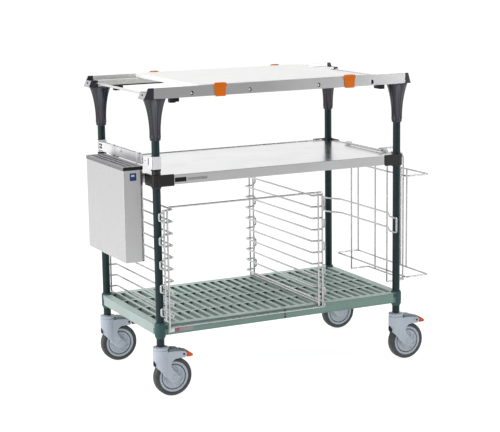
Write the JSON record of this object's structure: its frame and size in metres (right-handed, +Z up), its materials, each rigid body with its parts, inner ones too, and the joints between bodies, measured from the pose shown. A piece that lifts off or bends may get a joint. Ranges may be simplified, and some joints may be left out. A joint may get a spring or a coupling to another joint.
{
  "type": "food service trolley",
  "caption": "Wheeled kitchen trolley with braked swivel casters, slotted lower shelf, steel middle shelf, wire tray slides, knife box, board pocket and a sliding cutting board on top rails.",
  "frame": {"origin": "on the floor below the middle of the four posts", "axes": "+Z up, +X along the long side from the knife box end towards the board pocket end, -Y towards the side a user works from"},
  "size_m": [1.0868, 0.535, 0.9925],
  "materials": {
    "post_green": "smooth epoxy coat with fine grooves",
    "slate_plastic": "fine grained",
    "rail_metal": "satin, brushed lengthwise",
    "bar_metal": "satin",
    "board_white": "fine grained",
    "clip_orange": "satin",
    "stainless": "brushed lengthwise",
    "corner_black": "fine grained",
    "frame_green": "fine grained",
    "mat_green": "fine grained",
    "collar_green": "fine grained",
    "box_steel": "brushed",
    "insert_grey": "fine grained",
    "wire_chrome": "bright plated",
    "caster_grey": "satin",
    "wheel_grey": "satin",
    "tyre_dark": "soft tread",
    "pedal_orange": "satin"
  },
  "bodies": {
    "frame": {"hanger_clamp_back": "box_steel", "hanger_clamp_front": "box_steel", "knife_box_hanger": "box_steel", "lower_shelf_frame": "frame_green", "middle_shelf": "stainless", "post_back_left": "post_green", "post_back_right": "post_green", "post_collar_back_left": "collar_green", "post_collar_back_right": "collar_green", "post_collar_front_left": "collar_green", "post_collar_front_right": "collar_green", "post_front_left": "post_green", "post_front_right": "post_green", "rail_bracket_back_left": "slate_plastic", "rail_bracket_back_right": "slate_plastic", "rail_bracket_front_left": "slate_plastic", "rail_bracket_front_right": "slate_plastic", "rail_cap_back_left": "slate_plastic", "rail_cap_back_right": "slate_plastic", "rail_cap_front_left": "slate_plastic", "rail_cap_front_right": "slate_plastic", "rail_cross_bar_left": "bar_metal", "rail_cross_bar_right": "bar_metal", "shelf_corner_back_left": "corner_black", "shelf_corner_back_right": "corner_black", "shelf_corner_front_left": "corner_black", "shelf_corner_front_right": "corner_black", "shelf_mat_left": "mat_green", "shelf_mat_right": "mat_green", "top_rail_back": "rail_metal", "top_rail_front": "rail_metal", "tray_slide_left": "wire_chrome", "tray_slide_right": "wire_chrome"},
    "board": {"cutting_board": "board_white", "board_clip_front_left": "clip_orange", "board_clip_back_left": "clip_orange", "board_clip_front_right": "clip_orange", "board_clip_back_right": "clip_orange"},
    "knife_box": {"knife_box": "box_steel", "knife_box_insert": "insert_grey"},
    "board_pocket": {"board_pocket": "wire_chrome"},
    "caster_front_left": {"caster_fork_front_left": "caster_grey"},
    "wheel_front_left": {"wheel_hub_front_left": "wheel_grey", "wheel_tyre_front_left": "tyre_dark"},
    "pedal_front_left": {"brake_pedal_front_left": "pedal_orange"},
    "caster_back_left": {"caster_fork_back_left": "caster_grey"},
    "wheel_back_left": {"wheel_hub_back_left": "wheel_grey", "wheel_tyre_back_left": "tyre_dark"},
    "pedal_back_left": {"brake_pedal_back_left": "pedal_orange"},
    "caster_front_right": {"caster_fork_front_right": "caster_grey"},
    "wheel_front_right": {"wheel_hub_front_right": "wheel_grey", "wheel_tyre_front_right": "tyre_dark"},
    "pedal_front_right": {"brake_pedal_front_right": "pedal_orange"},
    "caster_back_right": {"caster_fork_back_right": "caster_grey"},
    "wheel_back_right": {"wheel_hub_back_right": "wheel_grey", "wheel_tyre_back_right": "tyre_dark"},
    "pedal_back_right": {"brake_pedal_back_right": "pedal_orange"}
  },
  "joints": [
    {"name": "board_slide", "type": "slide", "parent": "frame", "child": "board", "axis": [1, 0, 0], "range_m": [-0.14, 0.13]},
    {"name": "knife_box_lift", "type": "slide", "parent": "frame", "child": "knife_box", "axis": [0, 0, 1], "range_m": [0, 0.12]},
    {"name": "board_pocket_lift", "type": "slide", "parent": "frame", "child": "board_pocket", "axis": [0, 0, 1], "range_m": [0, 0.1]},
    {"name": "swivel_front_left", "type": "hinge", "parent": "frame", "child": "caster_front_left", "pos_m": [-0.4385, -0.2325, 0.1645], "axis": [0, 0, 1], "continuous": true},
    {"name": "spin_front_left", "type": "hinge", "parent": "caster_front_left", "child": "wheel_front_left", "pos_m": [-0.4005, -0.2325, 0.06296], "axis": [0, 1, 0], "continuous": true},
    {"name": "press_front_left", "type": "hinge", "parent": "caster_front_left", "child": "pedal_front_left", "pos_m": [-0.368, -0.2325, 0.1355], "axis": [0, 1, 0], "range_deg": [0, 18]},
    {"name": "swivel_back_left", "type": "hinge", "parent": "frame", "child": "caster_back_left", "pos_m": [-0.4385, 0.2325, 0.1645], "axis": [0, 0, 1], "continuous": true},
    {"name": "spin_back_left", "type": "hinge", "parent": "caster_back_left", "child": "wheel_back_left", "pos_m": [-0.4005, 0.2325, 0.06296], "axis": [0, 1, 0], "continuous": true},
    {"name": "press_back_left", "type": "hinge", "parent": "caster_back_left", "child": "pedal_back_left", "pos_m": [-0.368, 0.2325, 0.1355], "axis": [0, 1, 0], "range_deg": [0, 18]},
    {"name": "swivel_front_right", "type": "hinge", "parent": "frame", "child": "caster_front_right", "pos_m": [0.4385, -0.2325, 0.1645], "axis": [0, 0, 1], "continuous": true},
    {"name": "spin_front_right", "type": "hinge", "parent": "caster_front_right", "child": "wheel_front_right", "pos_m": [0.4765, -0.2325, 0.06296], "axis": [0, 1, 0], "continuous": true},
    {"name": "press_front_right", "type": "hinge", "parent": "caster_front_right", "child": "pedal_front_right", "pos_m": [0.509, -0.2325, 0.1355], "axis": [0, 1, 0], "range_deg": [0, 18]},
    {"name": "swivel_back_right", "type": "hinge", "parent": "frame", "child": "caster_back_right", "pos_m": [0.4385, 0.2325, 0.1645], "axis": [0, 0, 1], "continuous": true},
    {"name": "spin_back_right", "type": "hinge", "parent": "caster_back_right", "child": "wheel_back_right", "pos_m": [0.4765, 0.2325, 0.06296], "axis": [0, 1, 0], "continuous": true},
    {"name": "press_back_right", "type": "hinge", "parent": "caster_back_right", "child": "pedal_back_right", "pos_m": [0.509, 0.2325, 0.1355], "axis": [0, 1, 0], "range_deg": [0, 18]}
  ]
}
